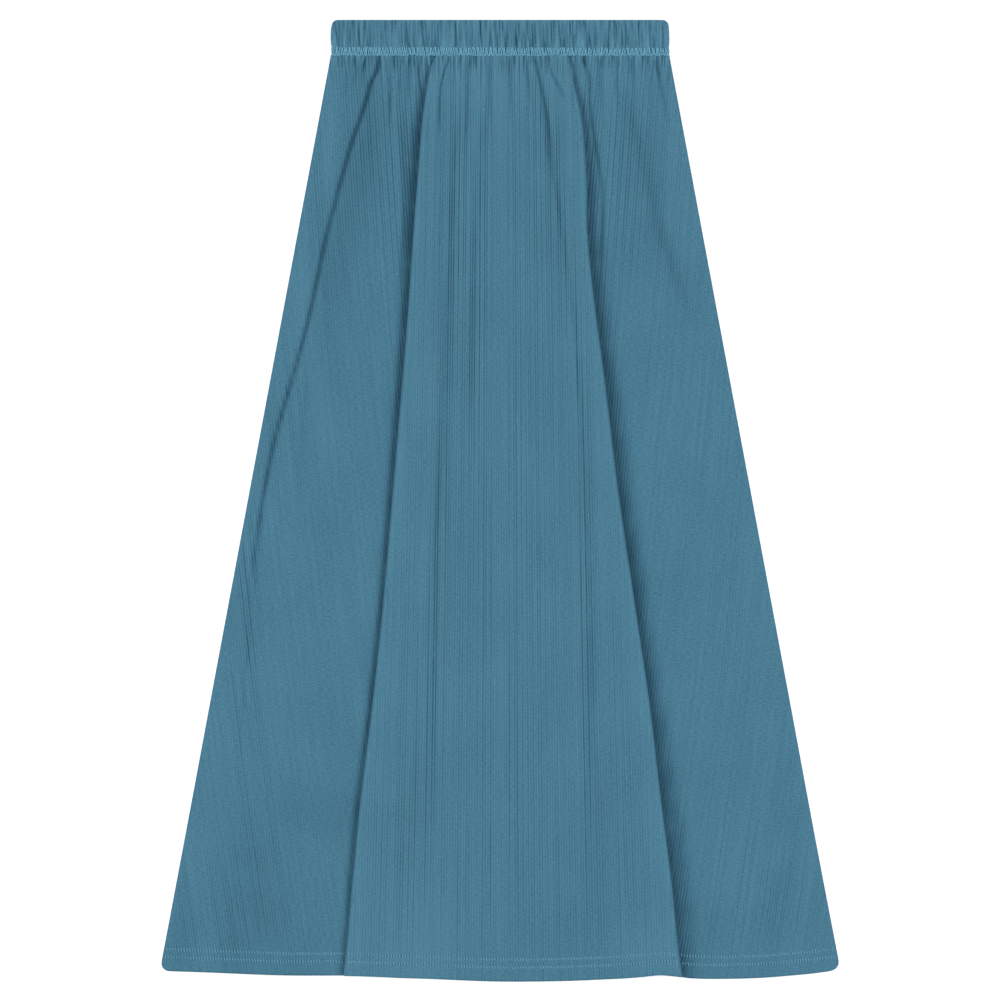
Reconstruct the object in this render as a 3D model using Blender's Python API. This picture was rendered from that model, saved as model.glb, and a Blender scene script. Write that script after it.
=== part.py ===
"""A girl's long a-line skirt in rib jersey, laid flat on its back panel with the waist at +Y.

It has three pieces: a front panel, a back panel under it, and a waistband, which is a casing
gathered over elastic. The front's spare width lies in two long folds that run from the gathers
to the hem, and the middle of the front covers them.

A drop is a distance below the waist edge, as a tape laid down the front would read it.
Sizes are in millimetres, and they become metres where a mesh is made.
"""

import bisect
import math

import bmesh
import bpy

MM = 0.001

# The garment
LENGTH = 673.3
WAIST_WIDTH = 236.2
FLARE = 0.1866
SEAM_GAP = 0.3
CLOTH = 1.0

# Waistband
GATHER_COUNT = 48
GATHER_HEIGHT = 0.5
GATHER_JITTER = 0.35
GATHER_LEAN = 1.2
BAND_CORNER = 3.5
BAND_SLOT = 0.5
BAND_HEIGHT = 25.2
GATHER_RHYTHM = 2.4
GATHER_UNEVENNESS = 0.4
GATHER_UNEVEN_RHYTHM = 5.0
SIDE_STATIONS = 5
BACK_STATIONS = 6

# Hem
HEM_CLOTH = 1.4
HEM_DEPTH = 15.0
HEM_STEP = 2.0
HEM_CORNER = 4.5
HEM_CORNER_STEP = HEM_CORNER / 4
BACK_HEM_SHORTER = 0.8
SAG_START = 480.0

# The two long folds
TUCK_AT_WAIST = 4.0
TUCK_AT_HEM = 35.0
FALL_LENGTH = 24.0
TURN_STEPS = 4
CURL_STEPS = 3

# The cloth's inside, which is plain: how the side parts rise from a fold and from an edge, and
# where its lines of points run
RISE_FROM_FOLD = 2.0
RISE_FROM_FOLD_REACH = 16.0
RISE_FROM_EDGE_REACH = 20.0
LINES_FROM_FOLD = (0.0, 3.0, 9.0, 17.0)
LINES_FROM_EDGE = (0.0, 5.0, 11.0, 20.0)
SIDE_MIDDLE_STEPS = 3
CENTRE_MIDDLE_STEPS = 4
BACK_HALF_STEPS = 6

# Ribs, one ridge for each second column
RIB_STEP = 1.96
RIB_HEIGHT = 0.3
RIB_FAN = 0.2
RIB_LEAN_AT_WAIST = 0.05
RIB_LEAN_AT_HEM = 0.15
FIRST_SIDE_RIB = 24
LAST_SIDE_RIB = 156
LAST_CENTRE_RIB = 66
SNAP = 0.45

# How much the cloth stands proud of its plain inside, away from troughs
SOFT_RISE = 0.5
WAIST_RISE = 0.9
WAIST_RISE_ENDS = 125.0
FADE = 7.0
RIB_FADE = 3.5
TROUGH_END = 1 / 3

# Drops of the front's and back's sections
SECTION_DROPS = (34, 48, 70, 104, 155, 225, 315, 410, 505, 600)

# Front: drop, x of the left fold, x of the right fold, spacing of its layers,
# height of the cloth's inside above the floor, extra height of the side parts
FRONT_SECTIONS = (
    (25.0, -48.0, 49.0, 1.6, 3.2, 0.0),
    (45.0, -50.9, 51.7, 2.0, 2.6, 0.5),
    (75.0, -55.4, 57.7, 2.3, 2.0, 1.0),
    (115.0, -58.0, 60.5, 2.5, 1.7, 1.3),
    (145.0, -60.4, 60.8, 2.5, 1.6, 1.4),
    (175.0, -62.4, 63.3, 2.5, 1.5, 1.4),
    (210.0, -64.8, 67.5, 2.5, 1.5, 1.4),
    (250.0, -68.1, 72.9, 2.4, 1.5, 1.3),
    (330.0, -75.0, 82.7, 2.2, 1.5, 1.1),
    (410.0, -82.0, 94.5, 2.0, 1.5, 0.9),
    (480.0, -89.4, 104.8, 1.9, 1.5, 0.8),
    (550.0, -98.0, 113.0, 1.8, 1.5, 0.7),
    (605.0, -103.2, 119.8, 1.8, 1.5, 0.6),
    (655.0, -107.6, 124.9, 1.8, 1.7, 0.4),
    (673.3, -109.6, 127.5, 1.8, 1.8, 0.3),
)

# Hem line: x, drop of the edge
HEM_LINE = (
    (-236.0, 666.0),
    (-210.0, 666.7),
    (-154.0, 668.9),
    (-98.0, 669.3),
    (-42.0, 671.8),
    (0.0, 673.3),
    (56.0, 672.1),
    (112.0, 668.8),
    (150.0, 671.1),
    (196.0, 669.1),
    (236.0, 665.2),
)

# Troughs in the front: start drop, start x, end drop, end x, bow to the side, depth, half width
GATHERS = (
    (24, -107.0, 62, -108.5, 0, 0.9, 1.8),
    (24, -101.2, 58, -103.0, 0, 0.9, 1.8),
    (24, -94.9, 52, -97.0, 0, 0.9, 1.8),
    (24, -75.5, 96, -79.0, 0, 1.2, 2.2),
    (24, -69.7, 70, -71.0, 0, 0.9, 1.8),
    (24, -64.1, 66, -64.5, 0, 0.9, 1.8),
    (24, -57.5, 62, -55.0, 0, 1.2, 2.0),
    (24, -38.2, 100, -41.5, 0, 1.2, 2.2),
    (24, -22.1, 112, -24.0, 0, 1.1, 1.8),
    (24, -7.4, 104, -6.0, 0, 1.1, 1.8),
    (24, 5.9, 76, 8.0, 0, 0.9, 1.8),
    (24, 17.8, 70, 22.0, 0, 0.9, 1.8),
    (24, 23.4, 120, 37.5, 3, 1.3, 2.4),
    (24, 35.3, 84, 48.5, 2, 1.2, 2.2),
    (24, 47.5, 74, 53.0, 0, 1.0, 1.8),
    (24, 62.5, 86, 65.0, 0, 1.0, 1.8),
    (24, 69.5, 70, 71.5, 0, 0.9, 1.8),
    (24, 80.1, 78, 83.5, 0, 0.9, 1.8),
    (24, 92.0, 62, 94.0, 0, 0.9, 1.8),
    (24, 101.8, 66, 105.5, 0, 0.9, 1.8),
    (24, 109.0, 84, 121.0, -1, 1.1, 2.2),
)
CREASES = (
    (24, -87.0, 406, -175.0, -9, 1.1, 3.0),
    (53, 97.0, 215, 138.0, -5, 0.5, 5.0),
    (89, -28.4, 477, -64.0, 6, 0.5, 5.5),
    (400, -45.0, 600, -55.0, 3, 0.4, 5.0),
    (89, -17.2, 300, -16.0, -3, 0.4, 5.5),
    (67, 30.0, 611, 66.0, 9, 0.45, 5.5),
)

# Waistband's section: drop, distance out from the middle of its wall, share of the gathers
BAND_SECTION = (
    (1.0, -1.2, 0.0),
    (0.0, 0.0, 0.0),
    (1.4, 1.2, 0.4),
    (5.0, 1.5, 1.0),
    (17.0, 1.5, 1.0),
    (19.0, 0.9, 0.5),
    (BAND_HEIGHT, 0.8, 0.4),
    (BAND_HEIGHT, -1.2, 0.0),
)
BAND_OUTSIDE = max(row[1] for row in BAND_SECTION)
BAND_INSIDE = -min(row[1] for row in BAND_SECTION)

TEAL = (0.067, 0.188, 0.275, 1.0)
TEAL_UNDERSIDE = (0.060, 0.170, 0.250, 1.0)
CLOTH_ROUGHNESS = 0.9


# Curves that everything reads


def smooth(t):
    """Rises from 0 to 1 with flat ends."""
    t = min(max(t, 0.0), 1.0)
    return t * t * (3 - 2 * t)


def read(table, at):
    """A table's other columns at one value of its first, on a smooth curve through its rows."""
    keys = [row[0] for row in table]
    at = min(max(at, keys[0]), keys[-1])
    i = min(max(bisect.bisect_right(keys, at) - 1, 0), len(keys) - 2)
    span = keys[i + 1] - keys[i]
    t = (at - keys[i]) / span

    def slope(k, column):
        low, high = max(k - 1, 0), min(k + 1, len(keys) - 1)
        return (table[high][column] - table[low][column]) / (keys[high] - keys[low])

    return [
        (1 + 2 * t) * (1 - t) ** 2 * table[i][column]
        + t * (1 - t) ** 2 * span * slope(i, column)
        + t * t * (3 - 2 * t) * table[i + 1][column]
        - t * t * (1 - t) * span * slope(i + 1, column)
        for column in range(1, len(table[0]))
    ]


def hem_share(drop):
    """How far a section follows the hem's line, from 0 high up to 1 at the edge."""
    return smooth((drop - SAG_START) / (LENGTH - SAG_START))


def half_width(drop):
    """Half the laid width, with the hem's corners rounded."""
    side_drop = drop - (LENGTH - HEM_LINE[0][1]) * hem_share(drop)
    wide = WAIST_WIDTH / 2 + FLARE * max(side_drop - BAND_HEIGHT, 0.0)
    into_corner = max(drop - (LENGTH - HEM_CORNER), 0.0)
    return wide - HEM_CORNER + math.sqrt(max(HEM_CORNER**2 - into_corner**2, 0.0))


def wall_at(drop):
    """Thickness of the panels' cloth, which is double where the hem is turned up."""
    return HEM_CLOTH if drop > LENGTH - HEM_DEPTH else CLOTH


def y_of(x, drop, shorter=0.0):
    """Y of a point on a section. Sections near the hem follow the hem's line."""
    hem_drop = read(HEM_LINE, x)[0]
    return LENGTH / 2 - drop - (hem_drop - LENGTH - shorter) * hem_share(drop)


def trough(row, x, drop):
    """Depth of one gather or crease at a point. It runs out over its last third."""
    start_drop, start_x, end_drop, end_x, bow, depth, half = row
    t = (drop - start_drop) / (end_drop - start_drop)
    if not 0 <= t <= 1:
        return 0.0
    line = start_x + (end_x - start_x) * t + bow * 4 * t * (1 - t)
    return depth * smooth((1 - t) / TROUGH_END) * math.exp(-(((x - line) / half) ** 2))


def soft_rise(x, drop):
    """How far the cloth's face stands above the least wall, apart from its ribs."""
    near_waist = 1 - smooth((drop - BAND_HEIGHT) / (WAIST_RISE_ENDS - BAND_HEIGHT))
    rise = SOFT_RISE + WAIST_RISE * near_waist
    return max(rise - sum(trough(row, x, drop) for row in GATHERS + CREASES), 0.0)


# Meshes


def panel_mesh(name, rows, material):
    """A wall through its sections. Each row is a pair, the face and the inside, and each of these
    is a list of groups of points from left to right. Where a group has more points on the face
    than inside, the ends of the wall are closed with triangles between the two."""
    bm = bmesh.new()
    made = {}

    def vertex(point):
        key = tuple(round(value, 5) for value in point)
        if key not in made:
            made[key] = bm.verts.new([value * MM for value in point])
        return made[key]

    def face(corners):
        kept = [v for k, v in enumerate(corners) if v is not corners[k - 1]]
        if len(kept) > 2:
            bm.faces.new(kept)

    rows = [
        [[[vertex(point) for point in group] for group in side] for side in row]
        for row in rows
    ]
    for side in (0, 1):
        grids = [[v for group in row[side] for v in group] for row in rows]
        for above, below in zip(grids, grids[1:]):
            for k in range(len(above) - 1):
                face((below[k], below[k + 1], above[k + 1], above[k]))
    for above, below in zip(rows, rows[1:]):
        for group, point in ((0, 0), (-1, -1)):
            face(
                (
                    above[0][group][point],
                    below[0][group][point],
                    below[1][group][point],
                    above[1][group][point],
                )
            )
    for outer, inner in (rows[0], rows[-1]):
        for k, (a, b) in enumerate(zip(outer, inner)):
            close_end(face, a, b)
            if k:
                face((outer[k - 1][-1], a[0], b[0], inner[k - 1][-1]))
    return finish(bm, name, material)


def close_end(face, outer, inner):
    """Faces between the two edges of one group at the wall's end."""
    outer = [v for k, v in enumerate(outer) if k == 0 or v is not outer[k - 1]]
    if len(outer) == len(inner):
        for k in range(len(outer) - 1):
            face((outer[k], outer[k + 1], inner[k + 1], inner[k]))
        return
    i = j = 0
    while i < len(outer) - 1 or j < len(inner) - 1:
        if j == len(inner) - 1 or (
            i < len(outer) - 1 and outer[i + 1].co.x <= inner[j + 1].co.x
        ):
            face((outer[i], outer[i + 1], inner[j]))
            i += 1
        else:
            face((outer[i], inner[j + 1], inner[j]))
            j += 1


def finish(bm, name, material):
    """Turns the faces outwards and adds the piece to the garment's collection."""
    bmesh.ops.recalc_face_normals(bm, faces=bm.faces)
    mesh = bpy.data.meshes.new(name)
    bm.to_mesh(mesh)
    bm.free()
    mesh.materials.append(material)
    piece = bpy.data.objects.new(name, mesh)
    bpy.data.collections["a_line_skirt"].objects.link(piece)
    return piece


def cloth_material(name, colour):
    material = bpy.data.materials.new(name)
    material.use_nodes = True
    shader = material.node_tree.nodes["Principled BSDF"]
    shader.inputs["Base Color"].default_value = colour
    shader.inputs["Roughness"].default_value = CLOTH_ROUGHNESS
    shader.inputs["Metallic"].default_value = 0.0
    return material


# Parts of a section, as (x, z) from left to right


def side_curl(drop, radius, distance, up):
    """The rounded side edge of one panel, from the seam to the flat. The front's turns up and
    the back's turns down, round the same centre."""
    start = math.asin(SEAM_GAP / 2 / distance)
    angles = [
        start + (math.pi / 2 - start) * k / CURL_STEPS for k in range(CURL_STEPS + 1)
    ]
    centre = half_width(drop) - radius
    return [
        (-centre - distance * math.cos(angle), radius + up * distance * math.sin(angle))
        for angle in angles
    ]


def mirrored(points):
    return [(-x, z) for x, z in reversed(points)]


def fold_points(crest, tuck, spacing, under, wall, outside):
    """The hidden layers of the left fold, on the cloth's face or on its inside: under the middle
    part, back out, and over the crest. The cloth turns at the inner end and again at the crest."""
    side = 1 if outside else -1
    low, high = spacing / 2 - side * wall / 2, spacing / 2 + side * wall / 2
    turn_x = crest + tuck
    crest_x = crest + spacing / 2 + wall / 2
    lower = under + wall / 2 + spacing / 2
    upper = lower + spacing
    points = []
    for k in range(TURN_STEPS + 1):
        angle = math.pi * (k / TURN_STEPS - 0.5)
        points.append(
            (turn_x + low * math.cos(angle), lower + low * math.sin(angle))
        )
    for k in range(TURN_STEPS + 1):
        angle = math.pi * (1.5 - k / TURN_STEPS)
        points.append(
            (crest_x + high * math.cos(angle), upper + high * math.sin(angle))
        )
    return points


def left_ribs(drop):
    """X of the left part's rib columns, which lean in towards the hem."""
    growth = (RIB_LEAN_AT_HEM - RIB_LEAN_AT_WAIST) / (2 * LENGTH)
    lean = RIB_LEAN_AT_WAIST * drop + growth * drop * drop
    return [
        (k, lean - k * RIB_STEP) for k in range(LAST_SIDE_RIB, FIRST_SIDE_RIB - 1, -1)
    ]


def right_ribs(drop):
    return [(k, -x) for k, x in reversed(left_ribs(drop))]


def centre_ribs(drop):
    """X of the middle part's rib columns, upright in the middle and slightly fanned."""
    spread = 1 - RIB_FAN * (1 - drop / LENGTH)
    return [
        (k, k * RIB_STEP * spread)
        for k in range(-LAST_CENTRE_RIB, LAST_CENTRE_RIB + 1)
    ]


def ribbed(ribs, start, end, drop, inside, wall):
    """The face between two limits: a column for each ridge and furrow. One that falls outside
    the limits ends on them, so that a rib runs out at a fold or at the side edge."""

    def point(k, x):
        if x < start + SNAP:
            return start, inside(start) + wall
        if x > end - SNAP:
            return end, inside(end) + wall
        room = min(x - start, end - x)
        ridge = RIB_HEIGHT if k % 2 == 0 else 0.0
        rise = soft_rise(x, drop) * smooth(room / FADE)
        return x, inside(x) + wall + rise + ridge * smooth(room / RIB_FADE)

    ends = [(start, inside(start) + wall)], [(end, inside(end) + wall)]
    return ends[0] + [point(k, x) for k, x in ribs] + ends[1]


# The three pieces


def front_section(drop):
    """One section of the front, as its face and its inside."""
    left, right, spacing, under, loft = read(FRONT_SECTIONS, drop)
    wall = wall_at(drop)
    tuck = TUCK_AT_WAIST + (TUCK_AT_HEM - TUCK_AT_WAIST) * drop / LENGTH
    radius = (under + wall) / 2
    edge = half_width(drop) - radius
    crest_end = spacing / 2 + wall / 2
    plateau = tuck + crest_end + SEAM_GAP

    def side_inside(crest):
        def inside(x):
            from_fold = smooth((abs(x) - abs(crest) - RISE_FROM_FOLD) / RISE_FROM_FOLD_REACH)
            from_edge = smooth((edge - abs(x)) / RISE_FROM_EDGE_REACH)
            return under + loft * from_fold * from_edge

        return inside

    def centre_inside(x):
        fall = max(
            1 - smooth((x - left - plateau) / FALL_LENGTH),
            1 - smooth((right - plateau - x) / FALL_LENGTH),
        )
        return under + 2 * spacing * fall

    def plain(inside, places):
        return [(x, inside(x)) for x in places]

    def across(limits, from_start, from_end, middle):
        first, last = limits[0] + from_start[-1], limits[1] - from_end[-1]
        steps = [first + (last - first) * k / middle for k in range(1, middle)]
        return (
            [limits[0] + away for away in from_start]
            + steps
            + [limits[1] - away for away in reversed(from_end)]
        )

    left_side, right_side = side_inside(left), side_inside(right)
    limits = (
        (-edge, left - SNAP),
        (left + crest_end, right - crest_end),
        (right + SNAP, edge),
    )
    face, inner = [], []
    for points, outside in ((face, True), (inner, False)):
        distance = radius if outside else radius - wall
        curl = side_curl(drop, radius, distance, 1)
        left_fold = fold_points(left, tuck, spacing, under, wall, outside)
        right_fold = mirrored(fold_points(-right, tuck, spacing, under, wall, outside))
        points.append(curl[:-1])
        points.append(left_fold[:-1])
        points.append(right_fold[1:])
        points.append(mirrored(curl)[1:])
    fall_starts = plateau - crest_end
    centre_lines = [0.0] + [fall_starts + FALL_LENGTH * k / 3 for k in range(4)]
    left_lines = across(limits[0], LINES_FROM_EDGE, LINES_FROM_FOLD, SIDE_MIDDLE_STEPS)
    middle_lines = across(limits[1], centre_lines, centre_lines, CENTRE_MIDDLE_STEPS)
    right_lines = across(limits[2], LINES_FROM_FOLD, LINES_FROM_EDGE, SIDE_MIDDLE_STEPS)
    face.insert(1, ribbed(left_ribs(drop), *limits[0], drop, left_side, wall))
    inner.insert(1, plain(left_side, left_lines))
    face.insert(3, ribbed(centre_ribs(drop), *limits[1], drop, centre_inside, wall))
    inner.insert(3, plain(centre_inside, middle_lines))
    face.insert(5, ribbed(right_ribs(drop), *limits[2], drop, right_side, wall))
    inner.insert(5, plain(right_side, right_lines))
    return face, inner


def back_section(drop):
    """One section of the back: flat on the floor, with its side edges turned up."""
    under = read(FRONT_SECTIONS, drop)[3]
    wall = wall_at(drop)
    radius = (under + wall) / 2
    edge = half_width(drop) - radius
    flat = [edge * k / BACK_HALF_STEPS for k in range(-BACK_HALF_STEPS, BACK_HALF_STEPS + 1)]
    face, inner = [], []
    for points, distance, height in ((face, radius, 0.0), (inner, radius - wall, wall)):
        curl = side_curl(drop, radius, distance, -1)
        points.append(curl[:-1])
        points.append([(x, height) for x in flat])
        points.append(mirrored(curl)[1:])
    return face, inner


def placed(section, drop, shorter=0.0):
    """A section's points in space."""
    return [
        [[(x, y_of(x, drop, shorter), z) for x, z in group] for group in side]
        for side in section
    ]


def panel_drops():
    """Drops of the panels' sections, from the waist seam to the hem, with two at the top of the
    turned-up hem, where the wall thickens, and two more round the hem's corners."""
    hem_top = LENGTH - HEM_DEPTH
    return (
        [BAND_HEIGHT + SEAM_GAP]
        + list(SECTION_DROPS)
        + [hem_top, hem_top + HEM_STEP, LENGTH - HEM_CORNER, LENGTH - HEM_CORNER_STEP, LENGTH]
    )


def front_panel(material):
    rows = [placed(front_section(drop), drop) for drop in panel_drops()]
    return panel_mesh("front_panel", rows, material)


def back_panel(material):
    rows = [placed(back_section(drop), drop, BACK_HEM_SHORTER) for drop in panel_drops()]
    return panel_mesh("back_panel", rows, material)


def band_stations():
    """Places round the waistband: x, height of the wall's middle, direction out, gather height.
    They run along the front, round one side, along the back and round the other side."""
    back = BAND_OUTSIDE
    front = back + 2 * BAND_INSIDE + BAND_SLOT
    middle, turn = (back + front) / 2, (front - back) / 2
    end = WAIST_WIDTH / 2 - turn - BAND_OUTSIDE
    pitch = 2 * end / GATHER_COUNT
    stations = []
    for k in range(2 * GATHER_COUNT + 1):
        inner = 0 < k < 2 * GATHER_COUNT
        shift = GATHER_JITTER * math.sin(GATHER_RHYTHM * k) * pitch / 2 if inner else 0.0
        uneven = 1 - GATHER_UNEVENNESS / 2 + GATHER_UNEVENNESS * math.sin(GATHER_UNEVEN_RHYTHM * k)
        height = GATHER_HEIGHT * uneven if k % 2 else 0.0
        stations.append((-end + k * pitch / 2 + shift, front, 0.0, 1.0, height))
    for k in range(1, SIDE_STATIONS):
        angle = math.pi / 2 - math.pi * k / SIDE_STATIONS
        out = math.cos(angle), math.sin(angle)
        stations.append((end + turn * out[0], middle + turn * out[1], *out, 0.0))
    for k in range(BACK_STATIONS + 1):
        stations.append((end - 2 * end * k / BACK_STATIONS, back, 0.0, -1.0, 0.0))
    for k in range(1, SIDE_STATIONS):
        angle = -math.pi / 2 - math.pi * k / SIDE_STATIONS
        out = math.cos(angle), math.sin(angle)
        stations.append((-end + turn * out[0], middle + turn * out[1], *out, 0.0))
    return stations


def waistband(material):
    bm = bmesh.new()
    rings = []
    for x, z, out_x, out_z, gather in band_stations():
        ring = []
        for drop, out, share in BAND_SECTION:
            lean = GATHER_LEAN * (drop / BAND_HEIGHT - 0.5) if gather else 0.0
            distance = out + gather * share
            at_x = x + out_x * distance
            into_corner = max(abs(at_x) - (WAIST_WIDTH / 2 - BAND_CORNER), 0.0)
            corner = BAND_CORNER - math.sqrt(max(BAND_CORNER**2 - into_corner**2, 0.0))
            point = (at_x + lean, LENGTH / 2 - max(drop, corner), z + out_z * distance)
            ring.append(bm.verts.new([value * MM for value in point]))
        rings.append(ring)
    for ring, after in zip(rings, rings[1:] + rings[:1]):
        for k in range(len(ring)):
            bm.faces.new((ring[k - 1], ring[k], after[k], after[k - 1]))
    return finish(bm, "waistband", material)


def main():
    for thing in list(bpy.data.objects):
        bpy.data.objects.remove(thing)
    collection = bpy.data.collections.new("a_line_skirt")
    bpy.context.scene.collection.children.link(collection)
    front_panel(cloth_material("front_jersey", TEAL))
    back_panel(cloth_material("back_jersey", TEAL_UNDERSIDE))
    waistband(cloth_material("band_jersey", TEAL))


main()
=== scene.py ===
"""Looks of a girl's long a-line skirt in teal rib jersey, laid flat and seen from straight above.

The front and the back are thin shells of jersey on their solids' forms, with each rib raised.
The waistband is a gathered casing, and the seams are real threads. Sizes are in millimetres, and
they become metres where a mesh is made. A drop is a distance below the waist edge.
"""

import math

import bmesh
import bpy
import numpy as np
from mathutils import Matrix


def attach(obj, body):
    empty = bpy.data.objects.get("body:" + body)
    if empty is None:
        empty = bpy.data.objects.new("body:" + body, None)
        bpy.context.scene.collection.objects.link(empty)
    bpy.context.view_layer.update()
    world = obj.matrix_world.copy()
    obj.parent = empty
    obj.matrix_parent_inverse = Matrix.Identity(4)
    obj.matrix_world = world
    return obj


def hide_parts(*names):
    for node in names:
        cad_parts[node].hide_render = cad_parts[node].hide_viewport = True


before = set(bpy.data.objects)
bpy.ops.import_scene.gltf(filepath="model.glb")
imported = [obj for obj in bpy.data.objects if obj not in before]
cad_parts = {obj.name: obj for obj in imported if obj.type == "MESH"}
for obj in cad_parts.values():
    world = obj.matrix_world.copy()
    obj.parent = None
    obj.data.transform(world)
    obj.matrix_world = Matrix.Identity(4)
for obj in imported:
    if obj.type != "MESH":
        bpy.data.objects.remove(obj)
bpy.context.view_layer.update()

MM = 0.001
MERGE = 0.002

# The garment: its solids' sizes, with a little ease at the sides and corners, and finer steps
LENGTH = 673.3
WAIST_WIDTH = 236.2
FLARE = 0.1866
CLOTH = 1.0
HEM_CLOTH = 1.4
HEM_DEPTH = 15.0
HEM_WALL_BLEND = 1.6
HEM_CORNER = 6.5
HEM_TURN_ANGLES = (30, 60, 90, 120, 150)
HEM_INSIDE_ROWS = (0.7, 4.0, 9.0, HEM_DEPTH)
SIDE_EASE = 0.7
SIDE_SEAM_DRAW = 0.1
SIDE_SEAM_ANGLE = 0.3
CURL_START = 0.02
CURL_STEPS = 8
BACK_HEM_SHORTER = 0.8
SAG_START = 480.0
BAND_HEIGHT = 25.2
GATHERS_START = 24
BAND_CORNER = 4.6
BAND_MIDDLE_FRONT = 4.4
BAND_MIDDLE_BACK = 1.5
BAND_OUTSIDE = 1.5

# The two long folds
TUCK_AT_WAIST = 4.0
TUCK_AT_HEM = 35.0
FALL_LENGTH = 24.0
TURN_STEPS = 8
LAYER_STEPS = 8
LEAST_TURN = 0.05
PLATEAU_MARGIN = 0.3
HIDDEN_SHADE = 0.25
SHADE_PLATEAU = 1.25

# The side parts rise from a fold and fall to the edge
LOFT_STARTS = 2
LOFT_RISES_IN = 16
LOFT_FALLS_IN = 20

# Ribs: columns run down each ridge and each furrow
RIB_COLUMN = 0.98
STRONG_RIB = 0.30
WEAK_RIB = 0.17
RIB_FAN = 0.2
SIDE_RIBS = ((25.0, 1.0), (100.0, 1.0), (190.0, 0.55), (300.0, 0.46), (673.3, 0.42))
# Painted shade over all of the side parts
SIDE_PAINTED_SHADE = 0.045
RIB_LEAN_AT_WAIST = 0.05
RIB_LEAN_AT_HEM = 0.15
FIRST_SIDE_COLUMN = 48
LAST_SIDE_COLUMN = 312
LAST_CENTRE_COLUMN = 132
LAST_BACK_COLUMN = 282
SNAP = 0.45
RIB_FADE = 1.6
RISE_FADE = 7.0
SOFT_RISE = 0.5
WAIST_RISE = 0.9
WAIST_RISE_ENDS = 125.0
SEAM_RISE = 0.5
SEAM_RISE_ENDS = 25.0
LEAST_RISE = -0.35

# Each column of ribs and furrows has its own luck, from 0 to 1. Furrows have painted shade, and
# ridges painted light, a shade below 0
RIB_LEAST, RIB_BY_LUCK = 0.75, 0.5
FURROW_PAINTED_SHADE, FURROW_PAINTED_SHADE_BY_LUCK = 0.32, 0.38
RIDGE_PAINTED_SHADE = -0.18
DEEP_FURROW_LUCK = 0.42
DEEP_FURROW = 0.28
DEEP_FURROW_PAINTED_SHADE = 0.6
OPEN_RIDGE_PAINTED_LIGHT = 0.12

# Front: drop, x of the left fold, x of the right fold, spacing of its layers,
# height of the cloth's inside above the floor, extra height of the side parts
FRONT_SECTIONS = (
    (25.0, -44.6, 48.8, 0.5, 2.4, 0.3),
    (30.0, -47.3, 49.8, 0.8, 2.35, 0.4),
    (35.0, -49.3, 50.6, 1.1, 2.3, 0.5),
    (45.0, -50.9, 51.7, 1.7, 2.2, 0.7),
    (62.0, -53.4, 55.8, 2.1, 2.0, 0.9),
    (80.0, -55.3, 58.3, 2.3, 1.9, 1.1),
    (115.0, -58.0, 60.5, 2.5, 1.7, 1.3),
    (145.0, -60.4, 60.8, 2.5, 1.6, 1.4),
    (175.0, -62.4, 63.3, 2.5, 1.5, 1.4),
    (210.0, -64.8, 67.5, 2.5, 1.5, 1.4),
    (250.0, -68.1, 72.9, 2.4, 1.5, 1.3),
    (330.0, -75.0, 82.7, 2.2, 1.5, 1.1),
    (410.0, -82.0, 94.5, 2.0, 1.5, 0.9),
    (480.0, -89.4, 104.8, 1.9, 1.5, 0.8),
    (550.0, -98.0, 113.0, 1.8, 1.5, 0.7),
    (605.0, -103.2, 119.8, 1.8, 1.5, 0.6),
    (655.0, -107.6, 124.9, 1.8, 1.7, 0.4),
    (673.3, -109.6, 127.5, 1.8, 1.8, 0.3),
)

# Hem line: x, drop of the edge
HEM_LINE = (
    (-236.0, 666.0),
    (-210.0, 666.7),
    (-154.0, 668.9),
    (-98.0, 669.3),
    (-42.0, 671.8),
    (0.0, 673.3),
    (42.0, 673.0),
    (70.0, 671.9),
    (98.0, 669.9),
    (112.0, 668.6),
    (124.0, 669.6),
    (133.0, 671.0),
    (154.0, 671.4),
    (182.0, 670.7),
    (210.0, 668.5),
    (224.0, 667.0),
    (236.0, 665.2),
)

# Gathers in the front: start drop, start x, end drop, end x, bow to the side, depth, half width
GATHERS = (
    (24, -107.0, 62, -108.5, 0, 1.0, 1.5),
    (24, -101.2, 58, -103.0, 0, 1.0, 1.5),
    (24, -94.9, 52, -97.0, 0, 1.1, 1.5),
    (24, -75.5, 96, -79.0, 0, 1.0, 1.4),
    (24, -69.7, 70, -71.0, 0, 1.0, 1.5),
    (24, -64.1, 66, -64.5, 0, 1.1, 1.5),
    (24, -22.1, 112, -24.0, 0, 1.0, 1.3),
    (24, -7.4, 104, -6.0, 0, 1.0, 1.3),
    (24, 5.9, 76, 8.0, 0, 1.0, 1.4),
    (24, 17.8, 70, 22.0, 0, 1.0, 1.4),
    (24, 23.4, 120, 37.5, 3, 1.5, 1.4),
    (24, 47.5, 74, 53.0, 0, 1.2, 1.5),
    (24, 69.5, 70, 71.5, 0, 0.8, 1.5),
    (24, 80.1, 78, 83.5, 0, 0.8, 1.5),
    (24, 92.0, 62, 94.0, 0, 0.6, 1.5),
    (24, 101.8, 66, 105.5, 0, 0.6, 1.5),
    (24, 109.0, 84, 121.0, -1, 1.2, 1.9),
)
PUCKER_COUNT = 62
PUCKER_DEPTH = 0.9
PUCKER_LENGTH = 13.0
PUCKER_BOW = 0.7
PUCKER_TURN = 1.9
PUCKER_SPREAD = 1.03
PUCKER_WANDER = 2
PUCKER_HALF_WIDTH = 1.0
CALM_RIGHT = 0.35
NARROW_CREASE = 1.5
GATHER_START_SHARE = 0.45
GATHER_OPENS_IN = 5
GATHER_FADE = 1.7
STARTS_AT_SEAM = 30
CREASE_FADES_IN = 40
CREASE_FADE_OUT = 0.35
LIP_RISE, LIP_START, LIP_REACH = 3, 0.3, 14
PULL_SHARE, PULL_REACH = 0.45, 3.2
TROUGH_SHADE = 0.42
TROUGH_SHADE_MOST = 2.4
HEM_EDGE_SHADE = 0.5
HEM_LINE_SHADE = 0.3
HEM_LINE_SHADE_STARTS = 1.6
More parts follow.
